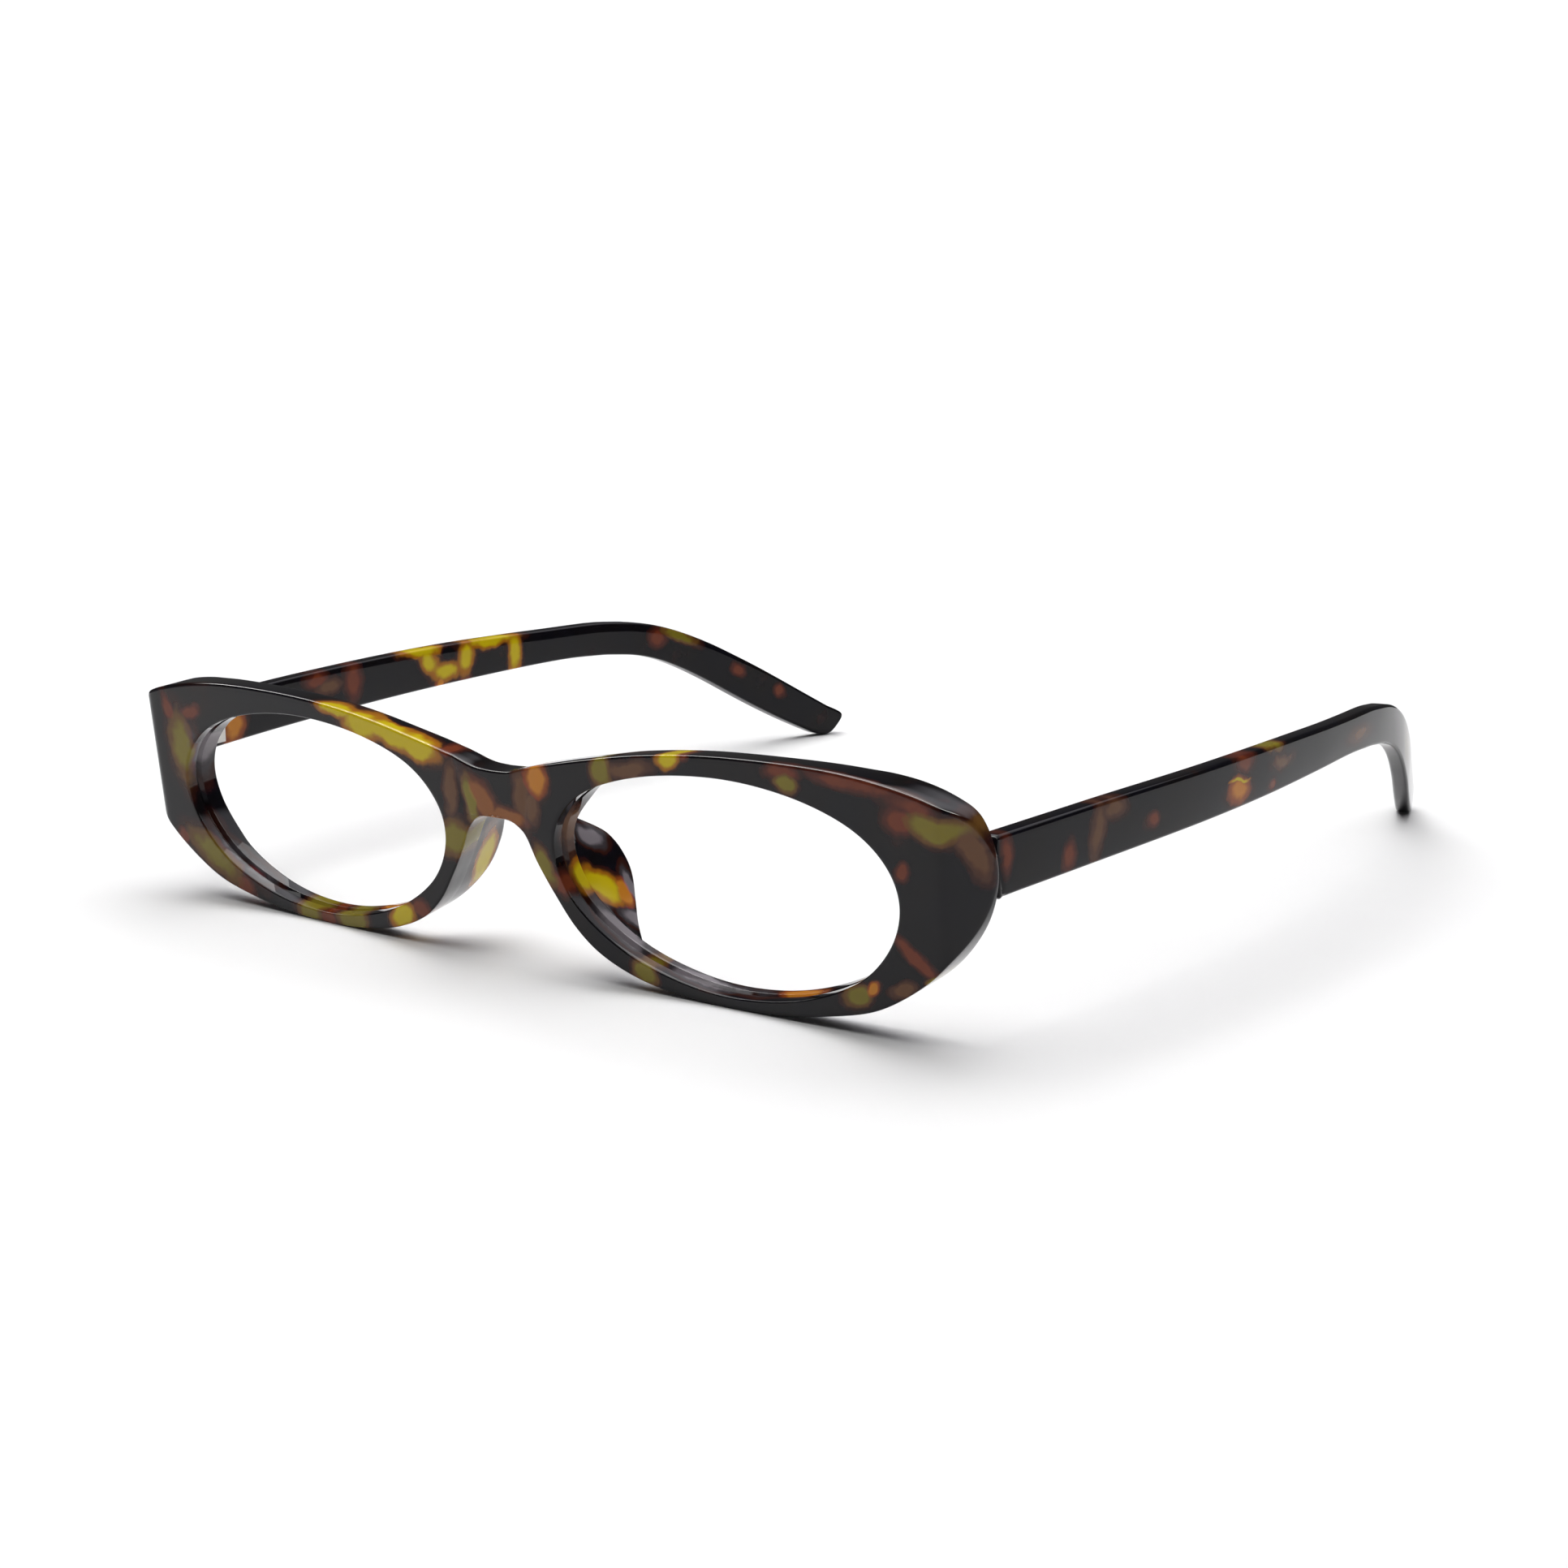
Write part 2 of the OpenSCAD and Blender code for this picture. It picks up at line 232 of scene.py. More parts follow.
# Swell of the back at a pad: its middle across and up, its spread each way and its rise.
SWELL_X, SWELL_V, SWELL_WIDE, SWELL_HIGH, SWELL_RISE = 11, 21.5, 3.0, 3.2, 1.2
bridge_crease = reading([(16, 4.1), (18, 4.35), (22, 5.2), (26, 6.3), (28, 6.9)])
rear_depth = reading([
    (0, 4.1), (10, 4.15), (22, 4.3), (38, 4.9), (50, 6.0), (55, 6.5), (70, 6.5)])


def face_depth(x, v):
    """Depth of the front face: a flat bridge, swept lens halves and chamfered ends."""
    sweep = WRAP * soft_ramp(x - SWEEP_FROM, SWEEP_SOFT)
    facet = (END_SLOPE - WRAP) * soft_ramp(x - CREASE_OUT, FACET_SOFT)
    valley = VALLEY_DEEP * np.exp(-np.abs(x - bridge_crease(v)) / VALLEY_WIDE)
    return sweep + facet + valley


def back_depth(x, v):
    """Depth of the rear face, which swells where a nose pad runs into the rim."""
    swell = np.exp(-((x - SWELL_X) / SWELL_WIDE) ** 2 - ((v - SWELL_V) / SWELL_HIGH) ** 2)
    return rear_depth(x) + SWELL_RISE * swell


def half_outline():
    """Evenly spaced outline of the right half: points, outward normals, drift and rounding."""
    line = even(run_curve(HALF_OUTLINE, 10), OUTER_STEPS)
    p, drift, bevel = line[:, :2], line[:, 2], line[:, 3]
    return p, normals(p, start=(0, -1), end=(0, 1)), drift, bevel[:, None]


def lens_ring(toward):
    """Points of the lens opening and their normals, one towards each outer point.

    The directions are evened out, so that neighbouring spokes don't bunch up.
    """
    ring = loop_curve([(x * LENS_W / 2, v * LENS_H / 2) for x, v in LENS_SHAPE], 24)
    closed = np.vstack([ring, ring[:1]])
    angle = np.unwrap(np.arctan2(closed[:, 1], closed[:, 0]))
    rel = toward - (LENS_X, LENS_V)
    want = np.unwrap(np.arctan2(rel[:, 1], rel[:, 0]))
    want = np.maximum.accumulate(want)
    full, reach, nudge = 2 * math.pi, 18, 0.01
    kernel = np.hanning(reach + 1) / np.hanning(reach + 1).sum()
    around = np.concatenate([want[-reach:] - full, want, want[:reach] + full])
    want = np.convolve(around, kernel, "same")[reach:-reach]
    want = (want - angle[0]) % full + angle[0]
    p = np.stack([np.interp(want, angle, closed[:, k]) for k in (0, 1)], -1)
    ahead, astern = (np.stack([np.interp(want + e, angle, closed[:, k], period=full)
                               for k in (0, 1)], -1) for e in (nudge, -nudge))
    t = ahead - astern
    n = np.stack([t[:, 1], -t[:, 0]], -1)
    n /= np.linalg.norm(n, axis=1)[:, None]
    return p + (LENS_X, LENS_V), n


def stack3(xv, d):
    """Points (across, up) with a depth added to each."""
    return np.concatenate([xv, np.broadcast_to(d, xv.shape[:-1])[..., None]], -1)


def build_front(material):
    """Both rims and the bridge as one closed mesh, the left half a mirror image of the right."""
    edge, out_n, drift, bevel = half_outline()
    beside_nose = np.exp(-(np.maximum(edge[:, :1] - 14, 0) / 4) ** 2) * (edge[:, 1:] < 19)
    rear_bevel = REAR_BEVEL + (NOSE_BEVEL - REAR_BEVEL) * beside_nose
    bevel_face = edge - out_n * bevel
    down = np.linspace(1, 0, BRIDGE_STEPS + 2)[1:-1, None]
    middle = bevel_face[0] + (bevel_face[-1] - bevel_face[0]) * down
    outer = np.vstack([bevel_face, middle])
    lens, lens_n = lens_ring(outer)

    # Spokes from the lens opening out to the edge, on the face and on the back.
    share = np.linspace(0, 1, FACE_STEPS + 1)[:, None, None]
    inner_face = lens + lens_n * LENS_BEVEL
    face_xv = inner_face + (outer - inner_face) * share
    face = stack3(face_xv, face_depth(face_xv[..., 0], face_xv[..., 1]))

    edge_d = face_depth(edge[:, 0], edge[:, 1])
    rear_d = back_depth(edge[:, 0], edge[:, 1])
    rear_xv = edge - out_n * (drift * (rear_d - edge_d))[:, None]
    rear_in = rear_xv - out_n * rear_bevel
    rear_middle = rear_in[0] + (rear_in[-1] - rear_in[0]) * down
    rear_outer = np.vstack([rear_in, rear_middle])
    inner_back = lens + lens_n * LENS_BEVEL
    back_xv = inner_back + (rear_outer - inner_back) * share
    back = stack3(back_xv, back_depth(back_xv[..., 0], back_xv[..., 1]))

    # Wall of the lens opening with its groove, from face to back. Its front edge is read at one
    # height above the rim, so that it runs evenly round the opening.
    lens_d = face_depth(lens[:, 0], np.full(len(lens), ABOVE_RIM))
    lens_back = back_depth(lens[:, 0], lens[:, 1])
    corners = [face[0], stack3(lens, lens_d + LENS_BEVEL), stack3(lens, lens_d + GROOVE_NEAR),
               stack3(lens + lens_n * GROOVE_DEEP, lens_d + (GROOVE_NEAR + GROOVE_FAR) / 2),
               stack3(lens, lens_d + GROOVE_FAR), stack3(lens, lens_back - LENS_BEVEL), back[0]]
    wall = rounded(corners, [0.12, 0.06, 0.1, 0.06, 0.12], 4)[1:-1]

    # Wall round the outside, chamfered at the face.
    def side(depth):
        return stack3(edge - out_n * (drift * (depth - edge_d))[:, None], depth)

    top, bottom = face[-1][:OUTER_STEPS], back[-1][:OUTER_STEPS]
    round_in, round_out = bevel[:, 0], rear_bevel[:, 0]
    corners = [top, side(edge_d), side(rear_d), bottom]
    outside = rounded_ends(corners, round_in, round_out)

    # Number the vertices: one open strip of face, wall and back for all spokes, and the outside.
    strip = np.concatenate([face[::-1], wall, back])
    spokes = strip.shape[1]
    strip_no = np.arange(strip.shape[0] * spokes).reshape(strip.shape[:2])
    outside_no = np.arange(outside.shape[0] * OUTER_STEPS).reshape(outside.shape[:2])
    outside_no += strip_no.size
    rim_no = np.vstack([strip_no[-1:, :OUTER_STEPS], outside_no[::-1], strip_no[:1, :OUTER_STEPS]])
    half = np.vstack([strip.reshape(-1, 3), outside.reshape(-1, 3)])
    faces = grid_faces(strip_no.T, closed_u=True) + grid_faces(rim_no.T)

    points = from_front(half[:, 0], half[:, 1], half[:, 2])
    mirrored = points * (-1, 1, 1)
    count = len(points)
    faces += [tuple(count + i for i in reversed(f)) for f in faces]
    return add_mesh("rim_front", np.vstack([points, mirrored]), faces, material, merge=2e-7)


# ---- Materials -------------------------------------------------------------------

class Nodes:
    """Short calls for building the nodes of a material or a world."""

    def __init__(self, owner):
        owner.use_nodes = True
        self.owner = owner
        self.tree = owner.node_tree
        self.shader = self.tree.nodes.get("Principled BSDF")

    def node(self, kind, **settings):
        n = self.tree.nodes.new(kind)
        for key, value in settings.items():
            setattr(n, key, value)
        return n

    def link(self, a, b):
        self.tree.links.new(a, b)

    def put(self, socket, value):
        """Link an output to the socket, or set the socket to a plain value."""
        if isinstance(value, bpy.types.NodeSocket):
            self.link(value, socket)
        else:
            socket.default_value = value

    def math(self, operation, *values, clamp=False):
        n = self.node("ShaderNodeMath", operation=operation, use_clamp=clamp)
        for socket, value in zip(n.inputs, values):
            self.put(socket, value)
        return n.outputs[0]

    def vector(self, operation, *values):
        n = self.node("ShaderNodeVectorMath", operation=operation)
        for socket, value in zip(n.inputs, values):
            self.put(socket, value)
        return n.outputs["Value" if operation == "LENGTH" else "Vector"]

    def noise(self, coords, scale, detail=2.0, colour=False):
        n = self.node("ShaderNodeTexNoise")
        self.link(coords, n.inputs["Vector"])
        n.inputs["Scale"].default_value = scale
        n.inputs["Detail"].default_value = detail
        return n.outputs["Color" if colour else "Fac"]

    def ramp(self, value, stops):
        n = self.node("ShaderNodeValToRGB")
        n.color_ramp.interpolation = "EASE"
        while len(n.color_ramp.elements) < len(stops):
            n.color_ramp.elements.new(0.5)
        for e, (place, colour) in zip(n.color_ramp.elements, stops):
            e.position = place
            e.color = (*colour, 1)
        self.link(value, n.inputs[0])
        return n.outputs["Color"]

    def mix(self, share, a, b, blend_type="MIX"):
        n = self.node("ShaderNodeMix", data_type="RGBA", blend_type=blend_type)
        self.put(n.inputs["Factor"], share)
        self.put(n.inputs["A"], a)
        self.put(n.inputs["B"], b)
        return n.outputs["Result"]

    def bump(self, height, strength, distance):
        """Raise the shader's surface by a height, with the distance in metres."""
        n = self.node("ShaderNodeBump")
        n.inputs["Strength"].default_value = strength
        n.inputs["Distance"].default_value = distance
        self.link(height, n.inputs["Height"])
        self.link(n.outputs[0], self.shader.inputs["Normal"])


def grey(level):
    return (level,) * 3


BLACK, WHITE = (0, 0, 0), (1, 1, 1)
DARK = (0.0028, 0.0026, 0.0046)
DARK_WARM = (0.0048, 0.0034, 0.0034)
DARK_COOL = (0.006, 0.0055, 0.0100)
EMBER = (0.030, 0.008, 0.005)
ACETATE_IOR = 1.47
# Tones: the colour round a patch's rim and the colour of its core.
TONES = [
    # The grey-lilac tone next is not a tone of the acetate but painted light: painted reflection on
    # the lens walls and painted glow of light through the right pad.
    ("painted_light", (0.040, 0.034, 0.038), (0.190, 0.170, 0.185)),
    ("brown", (0.070, 0.026, 0.014), (0.125, 0.055, 0.024)),
    ("red", (0.070, 0.014, 0.008), (0.150, 0.032, 0.012)),
    ("rust", (0.095, 0.024, 0.010), (0.250, 0.085, 0.022)),
    ("olive", (0.125, 0.058, 0.013), (0.190, 0.150, 0.016)),
    ("orange", (0.230, 0.052, 0.009), (0.520, 0.190, 0.018)),
    ("yellow", (0.330, 0.120, 0.007), (0.560, 0.430, 0.003)),
]


def tortoise(name, patches, flat_axis, origin=(0, 0, 0), lean=0.0, gloss=0.3):
    """Polished tortoiseshell: near-black acetate with soft patches set into it, a few of them
    painted light.

    A patch is (middle, half sizes, turn in degrees, tone) in millimetres, and is turned in the
    plane across flat_axis. The patches' own axes start at the origin and lean back from Z.
    """
    n = Nodes(bpy.data.materials.new(name))
    place = n.node("ShaderNodeTexCoord").outputs["Object"]

    def wander(scale, reach):
        """Noise that moves a place by up to about half of reach millimetres each way."""
        noise = n.vector("SUBTRACT", n.noise(place, scale, 2, colour=True), (0.5, 0.5, 0.5))
        return n.vector("MULTIPLY", noise, (reach * MM,) * 3)

    axes = n.node("ShaderNodeMapping", vector_type="TEXTURE")
    n.link(n.vector("ADD", n.vector("ADD", place, wander(240, 2.0)), wander(1100, 0.35)),
           axes.inputs["Vector"])
    axes.inputs["Location"].default_value = [c * MM for c in origin]
    axes.inputs["Rotation"].default_value = (lean, 0, 0)

    def field(kind):
        """How deep a place lies in the nearest patch of a tone: 1 in its middle, 0 at its edge."""
        total = None
        for middle, half, turn, tone in patches:
            if tone != kind:
                continue
            spot = n.node("ShaderNodeMapping", vector_type="TEXTURE")
            n.link(axes.outputs[0], spot.inputs["Vector"])
            spot.inputs["Location"].default_value = [c * MM for c in middle]
            spot.inputs["Rotation"].default_value[flat_axis] = math.radians(turn)
            spot.inputs["Scale"].default_value = [c * MM for c in half]
            inside = n.math("SUBTRACT", 1.0, n.vector("LENGTH", spot.outputs[0]))
            total = inside if total is None else n.math("SMOOTH_MAX", total, inside, 0.2)
        return total

    cloud = n.noise(place, 150, 4)
    mottle = n.noise(place, 520, 3)
    base = n.ramp(cloud, [(0.35, DARK), (0.62, DARK_WARM), (0.8, EMBER)])
    cool = n.ramp(mottle, [(0.3, BLACK), (0.7, grey(0.35))])
    colour = n.mix(cool, base, (*DARK_COOL, 1))
    shade = field("dark")
    for tone, rim, core in TONES:
        shown = field(tone)
        if shown is None:
            continue
        shown = n.math("ADD", shown, n.math("MULTIPLY_ADD", mottle, 0.3, -0.15))
        if shade is not None:
            shown = n.math("SMOOTH_MIN", shown, n.math("MULTIPLY", shade, -1.6), 0.3)
        tint = n.ramp(n.math("ADD", shown, 0.5), [
            (0.0, BLACK), (0.32, EMBER), (0.62, rim), (0.96, core)])
        colour = n.mix(1.0, colour, tint, "LIGHTEN")
    n.link(colour, n.shader.inputs["Base Color"])
    n.shader.inputs["IOR"].default_value = ACETATE_IOR
    n.shader.inputs["Specular IOR Level"].default_value = gloss
    haze = n.math("MULTIPLY_ADD", n.noise(place, 900, 3), 0.05, 0.01)
    n.link(haze, n.shader.inputs["Roughness"])
    n.bump(n.noise(place, 260, 2), 0.025, 0.0002)
    return n.owner


def metal(name, colour, rough, grain):
    """Drawn or turned metal with fine grain along one axis."""
    n = Nodes(bpy.data.materials.new(name))
    place = n.node("ShaderNodeTexCoord").outputs["Object"]
    stretched = n.vector("MULTIPLY", place, grain)
    lines = n.noise(stretched, 900, 4)
    dull = [c * 0.82 for c in colour]
    n.link(n.mix(lines, (*dull, 1), (*colour, 1)), n.shader.inputs["Base Color"])
    n.shader.inputs["Metallic"].default_value = 1.0
    n.link(n.math("MULTIPLY_ADD", lines, 0.2, rough), n.shader.inputs["Roughness"])
    n.bump(lines, 0.15, 0.00003)
    return n.owner


# ---- Nose pads -------------------------------------------------------------------

PAD_STATIONS = 100
PAD_START = 3.0
PAD_TIP = 1.25
# The stretch of the outline that a pad grows from: across from and to, and up to.
PAD_IN, PAD_OUT, PAD_TOP = 1.8, 20, 18.65
PAD_BASE_MIN, PAD_BASE_MAX = 1.2, 4.2
PAD_GAP = 0.012
# Share of the reach at which the free edge starts to turn round.
PAD_TURN = 0.93
# Depth of a pad's free edge by height up the nose line.
pad_reach = reading([
    (1.2, 3.1), (1.7, 3.8), (2.4, 5.1), (3.6, 7.1), (5.4, 9.2), (7.4, 10.7), (9.4, 11.35),
    (11.4, 11.25), (13.2, 10.65), (14.6, 9.8), (15.6, 8.8), (16.4, 7.7), (17.0, 6.7), (17.6, 5.8),
    (18.2, 5.1), (18.6, 4.6)])


def pad_section():
    """(share of the reach, share of the thickness) from the nose side round to the lens side."""
    turn = np.linspace(0.2, math.pi - 0.2, 11)
    rows = [(t, 0.0) for t in np.linspace(0, PAD_TURN, 18)]
    rows += [(PAD_TURN + (1 - PAD_TURN) * math.sin(a), 0.5 - 0.5 * math.cos(a)) for a in turn]
    return rows + [(t, 1.0) for t in np.linspace(PAD_TURN, 0, 18)]


def build_pad(side, material):
    """A fin that carries the rim's nose side on backwards and thins to a round free edge."""
    edge, out_n, drift, _ = half_outline()
    use = (edge[:, 0] > PAD_IN) & (edge[:, 0] < PAD_OUT) & (edge[:, 1] < PAD_TOP)
    line = even(np.column_stack([edge[use], out_n[use], drift[use]]), PAD_STATIONS)
    p, n, k = line[:, :2], line[:, 2:4], line[:, 4]
    n = n / np.linalg.norm(n, axis=1)[:, None]
    lens = lens_ring(edge)[0]
    rim_width = np.linalg.norm(p[:, None] - lens[None], axis=2).min(1)
    base = np.clip(rim_width - 0.1 - 0.6 * k, PAD_BASE_MIN, PAD_BASE_MAX)
    reach, rear = pad_reach(p[:, 1]), back_depth(p[:, 0], p[:, 1])
    rings = []
    for depth, thick in pad_section():
        d = PAD_START + (reach - PAD_START) * depth
        out = np.clip((d - rear) / np.maximum(reach - rear, 0.5), 0, 1)
        taper = PAD_TIP + (base - PAD_TIP) * (1 - out) ** 1.6
        inward = k * d + PAD_GAP + thick * (taper - k * np.minimum(d, rear) * 0.8)
        rings.append(stack3(p - n * inward[:, None], d))
    fin = np.stack(rings)
    points = from_front(fin[..., 0], fin[..., 1], fin[..., 2]).reshape(-1, 3)
    number = np.arange(len(points)).reshape(fin.shape[:2])
    faces = grid_faces(number, closed_u=True)
    faces += [tuple(number[:, 0]), tuple(number[::-1, -1])]
    name = ("left" if side < 0 else "right") + "_pad"
    return add_mesh(name, points * (side, 1, 1), faces, material, merge=1e-8)


# ---- Temples ---------------------------------------------------------------------

EDGE_R = 0.5
CROWN, CROWN_ROWS = 0.13, 7
SEAT_EDGE = 0.2
SEAT_LOW, SEAT_TOP, SEAT_CORNER = 16.98, 24.1, 0.3
TEMPLE_STEPS = 220
# How far out a temple's middle runs, by how far back.
plan_x = reading([
    (2, 63.7), (8, 64.4), (20, 65.9), (35, 67.45), (50, 68.6), (65, 69.05), (80, 68.75),
    (90, 68.2), (100, 67.4), (110, 66.15), (120, 64.2), (130, 61.4), (140, 58.05), (156, 52.6)])
# Side view of a temple: back and up.
TOP_EDGE = [
    (9.5, 24.2), (20, 24.6), (35, 25.0), (65, 25.3), (90, 24.95), (100, 24.8), (105, 24.45),
    (110, 23.85), (115, 22.75), (120, 21.1), (125, 19.0), (130, 16.5), (135, 13.8), (140, 10.9),
    (145, 7.95), (149.5, 5.3)]
LOW_EDGE = [
    (9.5, 17.2), (20, 17.7), (35, 18.25), (65, 19.1), (90, 19.65), (100, 19.4), (105, 19.0),
    (110, 18.3), (115, 16.95), (120, 14.9), (125, 12.35), (130, 9.5), (135, 6.65), (140, 3.96),
    (144.5, 1.75)]
TIP = [(144.5, 1.75), (147.2, 0.55), (149.0, 0.12), (150.4, 0.45), (151.9, 1.9), (152.6, 3.1),
       (152.1, 4.0), (149.5, 5.3)]


def seat_y(z):
    """How far behind MID_Y the leaning seat plane lies at height z."""
    return FACE_BACK + (SEAT_DEPTH - z * math.sin(LEAN)) / math.cos(LEAN)


def temple_outline():
    """Side view, anticlockwise from the top of the seat: top line reversed comes last."""
    heights = (SEAT_TOP - SEAT_CORNER, (SEAT_LOW + SEAT_TOP) / 2, SEAT_LOW + SEAT_CORNER)
    seat = np.array([(seat_y(z), z) for z in heights])

    def line_from(z, edge):
        return run_curve([(seat_y(z) + SEAT_CORNER, z + 0.02), *edge], 8)

    tip_line = run_curve(TIP, 6)[1:-1]
    return seat, line_from(SEAT_LOW, LOW_EDGE), tip_line, line_from(SEAT_TOP, TOP_EDGE)[::-1]


def build_temple(side, material):
    """Arm with softly crowned side faces, rounded edges and a squared-off round tip."""
    seat, low_line, tip_line, top_line = temple_outline()
    low_line, top_line = even(low_line, TEMPLE_STEPS), even(top_line, TEMPLE_STEPS)
    outline = np.vstack([seat, low_line, tip_line, top_line])
    t = np.roll(outline, -1, 0) - np.roll(outline, 1, 0)
    n = np.stack([t[:, 1], -t[:, 0]], -1)
    n /= np.linalg.norm(n, axis=1)[:, None]
    flat = TEMPLE_T / 2 - CROWN
    quarter = np.linspace(0, math.pi / 2, 7)
    offsets = [(EDGE_R * (1 - math.cos(a)) - flat, EDGE_R * (1 - math.sin(a))) for a in quarter]
    offsets = offsets + [(0.0, 0.0)] + [(-o, i) for o, i in reversed(offsets)]
    soft = np.ones(len(outline))
    soft[:len(seat)] = SEAT_EDGE

    def place(p, off):
        """Row-frame points of places in the side view, set off from the temple's middle."""
        slope = plan_x(p[..., 0] + 0.5) - plan_x(p[..., 0] - 0.5)
        x = plan_x(p[..., 0]) + off * np.sqrt(1 + slope**2)
        return np.stack([x * side, p[..., 0] + MID_Y, p[..., 1]], -1) * MM

    rings = [outline - n * (inset * soft)[:, None] for off, inset in offsets]
    points = [place(p, off) for p, (off, inset) in zip(rings, offsets)]
    number = np.arange(len(points) * len(outline)).reshape(len(points), len(outline))
    faces = grid_faces(number, closed_v=True)
    a, b = len(seat), len(seat) + TEMPLE_STEPS
    c = b + len(tip_line)
    count = number.size
    # The two side faces: rows between the low and top lines, then the seat's and the tip's ends.
    for row, p, sign in ((number[0], rings[0], -1), (number[-1], rings[-1], 1)):
        low, tip, top = row[a:b], row[b:c], row[c:][::-1]
        share = np.linspace(0, 1, CROWN_ROWS + 2)[1:-1, None]
        across = p[a:b][None] + (p[c:][::-1] - p[a:b])[None] * share[..., None]
        ends = np.sin(np.linspace(0, math.pi, TEMPLE_STEPS)) ** 0.25
        rise = CROWN * (1 - (2 * share - 1) ** 2) * ends
        points.append(place(across, sign * (flat + rise)).reshape(-1, 3))
        inner = np.arange(across.shape[0] * TEMPLE_STEPS).reshape(across.shape[:2]) + count
        count += inner.size
        sheet = np.vstack([low[None], inner, top[None]])
        faces += grid_faces(sheet)
        faces += [(*row[:a], *sheet[:, 0]), (*sheet[:, -1][::-1], *tip)]
    name = ("left" if side < 0 else "right") + "_temple_arm"
    verts = np.vstack([p.reshape(-1, 3) for p in points])
    return add_mesh(name, verts, faces, material, merge=1e-8)


# ---- Patches of the tortoiseshell, and patches of painted light --------------------

THROUGH = 40.0


def front_patch(x, v, wide, high, turn, tone, depth=2, deep=THROUGH):
    """Patch in the front: across and up its face, through it or at one depth."""
    return (x, depth, v), (wide, deep, high), -turn, tone


def side_patch(y, z, long, high, turn, tone):
    """Patch in a temple or pad, right through it, seen from the side."""
    return (0, y, z), (THROUGH * 4, long, high), turn, tone


# The grey-lilac patches set back on the lens walls, at depths 3.0 to 4.4, are painted reflection.
FRONT_PATCHES = [front_patch(*row) for row in [
    (-56.0, 20.3, 2.7, 6.0, 5, "olive", 0, 3.4), (-54.6, 21.0, 2.6, 6.0, 0, "painted_light", 4.4, 3.0),
    (-57.9, 25.6, 1.2, 2.2, 25, "red"), (-53.8, 25.6, 2.2, 1.0, 20, "red"),
    (-52.8, 6.1, 6.2, 2.5, -32, "olive", 0, 3.0), (-48.5, 6.2, 6.6, 1.7, -36, "painted_light", 3.0, 2.0),
    (-58.4, 8.0, 1.2, 1.1, 0, "red"), (-47.6, 2.7, 2.4, 1.4, -25, "red"),
    (-35.2, 1.0, 2.6, 1.9, 0, "olive"), (-31.6, 0.7, 1.7, 1.4, 0, "red"),
    (-27.2, 1.2, 2.7, 1.8, 5, "olive"), (-22.0, 3.2, 2.8, 0.7, 10, "orange", 3.4, 1.6),
    (-17.6, 3.2, 2.5, 1.7, 30, "yellow"), (-14.5, 4.6, 1.5, 1.4, 45, "red"),
    (-7.0, 15.3, 3.2, 2.5, 0, "olive"), (-6.9, 21.4, 1.1, 3.8, -6, "brown"),
    (-21.3, 27.8, 3.4, 2.4, -15, "yellow", 0, 3.6), (-25.5, 29.5, 3.6, 1.2, -8, "yellow", 0, 3.2),
    (-16.6, 27.2, 5.6, 1.8, -14, "yellow", 0, 3.0), (-11.8, 26.2, 4.2, 1.9, -14, "yellow", 0, 2.6),
    (-16.8, 28.2, 3.6, 3.0, 0, "dark", 4.4, 2.1), (-7.4, 26.6, 1.2, 1.2, 0, "red"),
    (-3.7, 20.2, 1.2, 3.6, 8, "olive"), (-1.6, 20.5, 4.2, 1.9, -44, "rust"),
    (2.2, 19.2, 3.4, 1.2, -8, "rust"), (4.5, 22.0, 1.2, 4.0, 3, "brown"),
    (6.8, 24.4, 2.0, 2.3, 0, "orange"), (6.0, 21.0, 1.2, 2.2, 0, "brown"),
    (16.9, 26.8, 1.6, 2.4, 0, "olive"), (21.0, 27.4, 3.6, 1.1, 8, "brown"),
    (26.6, 29.1, 1.7, 1.4, 10, "yellow"), (28.6, 29.7, 0.8, 0.7, 0, "red"),
    # The shallow red patches along the right half's top edge, at (42.0, 29.2), (52.0, 29.0) and
    # (58.6, 27.1), are a painted brown sheen on the edge.
    (42.5, 28.0, 1.6, 1.1, 0, "olive"), (42.0, 29.2, 2.4, 1.0, 0, "red", 0.5, 1.6),
    (52.0, 29.0, 7.5, 1.1, -8, "red", 0.5, 1.6), (58.6, 27.1, 4.0, 2.0, -20, "red", 0.6, 1.7),
    (57.0, 25.4, 2.2, 1.6, 0, "red"), (61.0, 25.1, 3.9, 1.7, -10, "olive"),
    (64.2, 22.6, 1.1, 3.6, 14, "brown"), (56.7, 19.8, 0.9, 1.0, 0, "red"),
    (58.0, 10.2, 3.6, 0.9, -38, "red"), (59.9, 7.8, 1.2, 0.7, 30, "olive"),
    (50.4, 4.4, 2.1, 1.3, 20, "olive"), (52.4, 5.6, 1.2, 0.9, 40, "orange"),
    (56.0, 6.2, 1.6, 0.9, 30, "brown"), (20.6, 2.4, 1.9, 1.4, -20, "olive"),
    (7.0, 13.8, 1.3, 2.8, 25, "olive"), (9.6, 17.6, 1.8, 4.6, 10, "brown", 3.2, 1.7),
    (8.9, 11.8, 0.9, 1.9, 30, "red"), (41.0, 2.2, 3.6, 1.2, 10, "orange", 3.8, 1.4),
    (10.0, 11.8, 1.6, 2.4, 20, "yellow", 3.4, 1.7), (15.8, 5.4, 5.4, 1.5, -36, "painted_light", 3.1, 1.7),
    (28.0, 1.9, 9.0, 1.1, -2, "painted_light", 3.0, 1.7),
]]
LEFT_PAD_PATCHES = [side_patch(*row) for row in [
    (MID_Y + 10.4, 10.6, 2.3, 4.6, 14, "yellow"), (MID_Y + 8.4, 15.4, 1.6, 1.2, 50, "brown"),
]]
